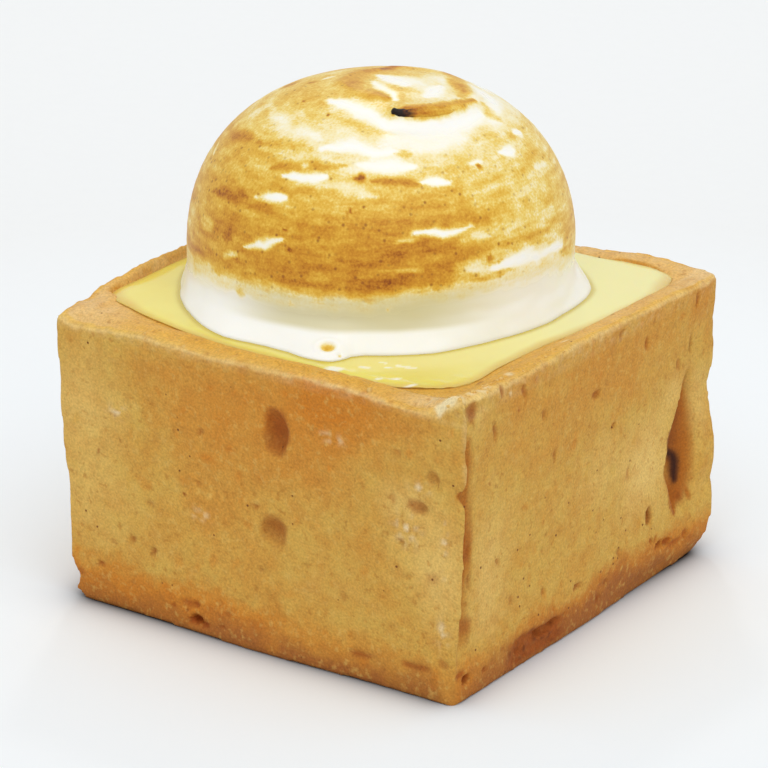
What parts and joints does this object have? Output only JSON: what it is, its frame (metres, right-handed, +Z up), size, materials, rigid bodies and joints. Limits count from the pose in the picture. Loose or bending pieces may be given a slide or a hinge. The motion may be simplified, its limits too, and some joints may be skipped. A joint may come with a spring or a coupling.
{
  "type": "lemon meringue tart",
  "caption": "Square shortcrust tart case filled level with lemon curd, under a torched half sphere of meringue with a pulled tip; rests on its flat base.",
  "frame": {"origin": "centre of the bounding box at the underside of the base, which is the table's surface", "axes": "+Z up through the meringue, -Y out of the front side wall, +X out of the right side wall"},
  "size_m": [0.0614, 0.0602, 0.0655],
  "materials": {
    "shortcrust": "baked shortcrust pastry, dry and sandy, browner at the rim and the base",
    "lemon_curd": "set lemon curd, smooth and glossy",
    "meringue": "white Italian meringue, torched golden brown with a white foot"
  },
  "bodies": {
    "root": {"crust": "shortcrust", "lemon_curd": "lemon_curd", "meringue": "meringue"}
  },
  "joints": []
}
